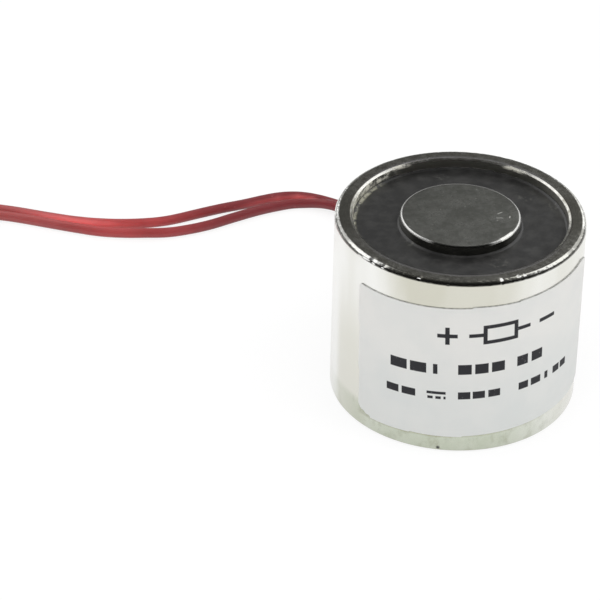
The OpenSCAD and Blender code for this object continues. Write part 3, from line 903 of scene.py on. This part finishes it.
def makeCore(c):
    point = c["depth"] + c["drill"] / math.tan(math.radians(c["pointAngle"] / 2))
    top, out, edge = c["height"], c["radius"], c["edge"]
    profile = [(0, point), (c["drill"], c["depth"]), (c["drill"], c["threaded"] + c["runOut"])]
    profile += [(c["root"], c["threaded"]), (c["root"], c["sink"] - c["root"]), (c["sink"], 0)]
    profile += corner(c["spigot"] - c["spigotEdge"], c["spigotEdge"], c["spigotEdge"], -90, 0, 3)
    profile += [(c["spigot"], c["base"]), (out, c["base"])] + [(out, z) for z in c["sideRings"]]
    profile += corner(out - edge, top - edge, edge, 0, 90)
    profile += [(r, top) for r in c["faceRings"]]
    piece = turnPiece("pole", profile, c["steps"])
    ridge = startPoint("ridge")
    rise, foot, crest = c["threadStart"], c["ridgeFoot"], c["ridgeCrest"]
    deep = c["root"] + c["ridgeSink"]
    drawLine([(deep, 0, rise - foot), (c["drill"], 0, rise - crest), (c["drill"], 0, rise + crest),
              (deep, 0, rise + foot), (deep, 0, rise - foot)])
    bpy.ops.mesh.remove_doubles(threshold=1e-6)
    bpy.ops.object.mode_set(mode="OBJECT")
    applyModifier(ridge, "SCREW", angle=math.radians(360), screw_offset=c["pitch"] * mm,
                  iterations=c["threadTurns"], steps=c["turnSteps"], render_steps=c["turnSteps"])
    fillEnds()
    combine(piece, ridge, "UNION")
    finishPiece(piece, "pole_steel", ["pole_core"])


makeCore(core)
print("core turned and tapped")

# Resin round the coil, with its plug in the lead hole
resin = {
    "out": 10.705, "in": 5.995, "top": 18.85, "bottom": 3.0, "wallRing": 10, "rows": 12, "steps": 256,
    "creep": 0.16, "creepWidth": 0.3, "creepSteps": 5,
    "flange": 10.2, "flangeTop": 17.6, "slotTop": 16.9, "slot": 9.0, "slotLow": 3.7,
    "skin": 0.1, "sag": (2.2, 1, 0.2, 0.8), "wave": 0.05,
    "plug": 1.41, "plugFrom": 9.8, "plugFace": 12.2, "plugDome": 0.12, "plugHeight": 5.0, "plugSteps": 64,
    "blob": (0.8, 1, 0.2, 0.8), "blobDepth": 0.15,
}


def makeResin(c):
    creep, width, top = c["creep"], c["creepWidth"], c["top"]
    climb = [(t / c["creepSteps"], (1 - t / c["creepSteps"]) ** 2) for t in range(c["creepSteps"] + 1)]
    profile = [(c["flange"], c["bottom"]), (c["out"], c["bottom"]), (c["out"], c["wallRing"])]
    profile += [(c["out"] - width * a, top + creep * b) for a, b in climb]
    inner, outer = c["in"] + width, c["out"] - width
    profile += [(outer + (inner - outer) * i / c["rows"], top) for i in range(1, c["rows"])]
    profile += [(c["in"] + width * a, top + creep * b) for a, b in reversed(climb)]
    profile += [(c["in"], c["flangeTop"]), (c["flange"], c["flangeTop"]), (c["flange"], c["slotTop"])]
    profile += [(c["slot"], c["slotTop"]), (c["slot"], c["slotLow"]), (c["flange"], c["slotLow"])]
    profile += [(c["flange"], c["bottom"])]
    piece = turnPiece("potting_resin", profile, c["steps"])
    skin = pickPoints(piece, "skin", lambda p: p.z > top - c["skin"])
    applyModifier(piece, "DISPLACE", texture=cloudTexture("sag", *c["sag"]), direction="Z",
                  vertex_group=skin, strength=c["wave"] * mm, mid_level=0.5)
    dome = [(c["plug"] * math.cos(math.radians(a)), c["plugFace"] + c["plugDome"] * math.sin(math.radians(a)))
            for a in range(0, 91, 15)]
    stem = [(0, c["plugFrom"]), (c["plug"], c["plugFrom"])]
    plug = turnAcross("plug", stem + dome, c["plugHeight"], c["plugSteps"])
    face = pickPoints(plug, "face", lambda p: p.y > c["plugFace"] - 0.01)
    applyModifier(plug, "DISPLACE", texture=cloudTexture("blob", *c["blob"]), direction="Y",
                  vertex_group=face, strength=c["blobDepth"] * mm, mid_level=0.5)
    combine(piece, plug, "UNION")
    finishPiece(piece, "resin", ["potting"])


makeResin(resin)
print("resin poured")

# Label: a strip wound on the cup, cut askew
label = {
    "spare": 12, "perDegree": 1, "from": 0.4, "tall": 18.4, "rows": 24, "cornerRound": 0.9,
    "cornerFlats": (22.5, 45, 67.5), "facing": 0.8,
}


def makeLabel(c):
    half = math.degrees(sticker["width"] / 2 / cupRadius)
    span = 2 * (half + c["spare"])
    first = math.radians(-90 - span / 2)
    start = Vector((math.cos(first), math.sin(first), 0)) * sticker["radius"]
    piece = startPoint("label_strip")
    drawLine([(start.x, start.y, c["from"] + c["tall"] * i / c["rows"]) for i in range(c["rows"] + 1)])
    bpy.ops.mesh.spin(steps=round(span * c["perDegree"]), angle=math.radians(span), axis=(0, 0, -1),
                      center=(0, 0, 0))
    tilt = math.radians(-sticker["tilt"])
    up = Vector((math.sin(tilt), 0, math.cos(tilt)))
    along = Vector((math.cos(tilt), 0, -math.sin(tilt)))
    middle = Vector((0, 0, sticker["middle"]))
    halfTall, bend = sticker["height"] / 2, c["cornerRound"]
    cuts = [(middle + up * halfTall, up), (middle - up * halfTall, -up)]
    for side in (1, -1):
        turn = Matrix.Rotation(math.radians(side * half), 3, "Z")
        sideways = turn @ along * side
        edge = turn @ Vector((0, -cupRadius, sticker["middle"]))
        cuts.append((edge, sideways))
        for above in (1, -1):
            heart = edge - sideways * bend + up * above * (halfTall - bend)
            for lean in c["cornerFlats"]:
                outward = sideways * math.cos(math.radians(lean)) + up * above * math.sin(math.radians(lean))
                cuts.append((heart + outward * bend, outward))
    for at, outward in cuts:
        bpy.ops.mesh.select_all(action="SELECT")
        bpy.ops.mesh.bisect(plane_co=at * mm, plane_no=outward, clear_outer=True)
    closeMesh()
    faceOut = sum(p.normal.dot(Vector((p.center.x, p.center.y, 0))) for p in piece.data.polygons) > 0
    thick = sticker["thick"] * (1 if faceOut else -1)
    applyModifier(piece, "SOLIDIFY", thickness=thick * mm, offset=1)
    piece.data.materials.append(finishes["label_paper"])
    piece.data.materials.append(finishes["label_edge"])
    for p in piece.data.polygons:
        outward = Vector((p.center.x, p.center.y, 0)).normalized()
        p.material_index = 0 if abs(p.normal.dot(outward)) > c["facing"] else 1
    finishPiece(piece, "label_paper", ["label"])


makeLabel(label)
print("label wound")

# Tie round the coil of spare lead
tie = {
    "inner": 1.90, "outer": 8.60, "low": 0.25, "high": 2.45, "thick": 0.25, "round": 0.35, "roundSteps": 5,
    "from": 100, "width": 3.0, "steps": 10,
}


def makeTie(c):
    half, bend = c["thick"] / 2, c["round"]
    left, right = c["inner"] - half + bend, c["outer"] + half - bend
    low, high = c["low"] - half + bend, c["high"] + half - bend
    loop = []
    for i, (r, z) in enumerate(((right, low), (right, high), (left, high), (left, low))):
        loop += corner(r, z, bend, 90 * i - 90, 90 * i, c["roundSteps"])
    loop.append(loop[0])
    piece = startPoint("tie_band")
    turn = math.radians(c["from"])
    atX, atY = coil["at"]
    drawLine([(atX + r * math.cos(turn), atY + r * math.sin(turn), z) for r, z in loop])
    bpy.ops.mesh.spin(steps=c["steps"], angle=c["width"] / c["outer"], axis=(0, 0, -1),
                      center=(atX * mm, atY * mm, 0))
    closeMesh()
    applyModifier(piece, "SOLIDIFY", thickness=c["thick"] * mm, offset=0)
    finishPiece(piece, "tie", ["coil_tie"])
    return piece


tieBand = makeTie(tie)

# Tinned ends: six twisted strands round one
tip = {
    "length": 4.0, "tuck": 0.2, "strand": 0.085, "sides": 12, "ring": 0.165, "outer": 6,
    "twist": 200, "steps": 20,
}


def makeTip(name, route, node, c):
    last, before = Vector(route[-1]), Vector(route[-2])
    ahead = (last - before).normalized()
    strands = []
    for i in range(c["outer"] + 1):
        dropSelection()
        turn = math.radians(360 / c["outer"] * i)
        off = c["ring"] if i else 0
        bpy.ops.mesh.primitive_circle_add(vertices=c["sides"], radius=c["strand"] * mm,
                                          location=(off * math.cos(turn) * mm, off * math.sin(turn) * mm, 0))
        strand = bpy.context.object
        bpy.ops.object.transform_apply()
        applyModifier(strand, "SCREW", angle=math.radians(c["twist"]),
                      screw_offset=(c["length"] + c["tuck"]) * mm, steps=c["steps"], render_steps=c["steps"])
        fillEnds()
        strands.append(strand)
    choose(*strands)
    bpy.ops.object.join()
    piece = strands[0]
    piece.name = piece.data.name = name
    place = Matrix.Translation((last - ahead * c["tuck"]) * mm)
    piece.matrix_world = place @ ahead.to_track_quat("Z", "Y").to_matrix().to_4x4()
    choose(piece)
    bpy.ops.object.transform_apply()
    finishPiece(piece, "solder", [node])
    return piece


tipA = makeTip("lead_a_strands", leads["endA"], "lead_a_tip", tip)
tipB = makeTip("lead_b_strands", leads["endB"], "lead_b_tip", tip)
print("tie and tinned ends made")

# The leads take their finish and join the root body
finishPiece(leadA, "lead_pvc", ["lead_a_run", "lead_coil", "lead_a_end"])
finishPiece(leadB, "lead_pvc", ["lead_b_run", "lead_b_end"])

# Table, studio light and pale background, in metres
studio = {
    "table": 4.0,
    "tableDrop": 0.00002,
    "tableColour": (0.86, 0.86, 0.86, 1),
    "seen": (0.845, 0.20),  # glow and share of real shade, as the camera sees the table
    "mirrored": (0.555, 0.55),  # and as metal mirrors it
    "fill": 0.70,
    "sky": (0.015, 0.19),  # mirrored sky, from the camera's side to the far side
    "skyFade": (-0.55, 0.60),
    "aim": (0, 0, 0.012),
    "lamps": [  # to the camera's right, behind the part, height, width, depth, watts, mirrored or lighting
        (-0.296, 0.276, 0.306, 0.52, 0.38, 0.72, True),
        (0.296, 0.276, 0.306, 0.52, 0.38, 0.72, True),
        (0.06, -0.22, 0.56, 0.80, 0.40, 1.45, False),
        (-0.45, -0.04, 0.25, 0.30, 0.30, 0.24, False),
        (0.45, -0.04, 0.25, 0.30, 0.30, 0.29, False),
    ],
}


def seenBy(wire):  # the camera, and whatever mirrors or lets light through
    path = wire.node("ShaderNodeLightPath").out.node
    rays = ("Is Camera Ray", "Is Glossy Ray", "Is Transmission Ray")
    direct, glossy, through = (Wire(wire.tree, path.outputs[name]) for name in rays)
    return direct, most(glossy, through)


def emptyTree(owner):
    owner.use_nodes = True
    owner.node_tree.nodes.clear()
    return Wire(owner.node_tree)


def makeTable(c):
    dropSelection()
    bpy.ops.mesh.primitive_plane_add(size=c["table"], location=(0, 0, -c["tableDrop"]))
    table = bpy.context.object
    table.name = "table"
    material = bpy.data.materials.new("table_white")
    wire = emptyTree(material)
    matt = wire.node("ShaderNodeBsdfDiffuse", None, {"Color": c["tableColour"]})
    looks = []
    for glow, share in (c["seen"], c["mirrored"]):
        light = wire.node("ShaderNodeEmission", None, {"Color": (1, 1, 1, 1), "Strength": glow})
        dim = wire.node("ShaderNodeMixShader", None, {0: share, 2: matt})
        looks.append(wire.node("ShaderNodeAddShader", None, {0: dim, 1: light}))
    direct, mirror = seenBy(wire)
    look = wire.node("ShaderNodeMixShader", None, {0: mirror, 1: matt, 2: looks[1]})
    look = wire.node("ShaderNodeMixShader", None, {0: direct, 1: look, 2: looks[0]})
    wire.node("ShaderNodeOutputMaterial", None, {0: look})
    table.data.materials.append(material)


def makeLight(c):
    right, forward = (Vector((*view[name], 0)) for name in ("across", "ahead"))
    for i, (across, behind, height, width, depth, watts, mirrored) in enumerate(c["lamps"]):
        at = right * across + forward * behind + Vector((0, 0, height))
        aim = Vector(c["aim"]) - at
        bpy.ops.object.light_add(type="AREA", location=at, rotation=aim.to_track_quat("-Z", "Y").to_euler())
        lamp = bpy.context.object
        lamp.name = "softbox_" + str(i + 1)
        lamp.data.shape = "RECTANGLE"
        lamp.data.size, lamp.data.size_y = width, depth
        lamp.data.energy = watts
        lamp.visible_glossy = mirrored
        lamp.visible_diffuse = not mirrored
    world = bpy.data.worlds.new("studio")
    bpy.context.scene.world = world
    wire = emptyTree(world)
    direct, mirror = seenBy(wire)
    towards = wire.node("ShaderNodeTexCoord", out="Generated")
    split = wire.node("ShaderNodeSeparateXYZ", None, {0: towards}).out.node
    x, y = (Wire(wire.tree, split.outputs[i]) for i in range(2))
    behind = x * forward.x + y * forward.y
    low, high = c["sky"]
    sky = low + fade(behind, *c["skyFade"]) * (high - low)
    level = direct + (1 - direct) * (mirror * sky + (1 - mirror) * c["fill"])
    background = wire.node("ShaderNodeBackground", None, {"Color": (1, 1, 1, 1), "Strength": level})
    wire.node("ShaderNodeOutputWorld", None, {0: background})


makeTable(studio)
makeLight(studio)
bpy.context.scene.view_settings.view_transform = "Standard"
print("studio lit")
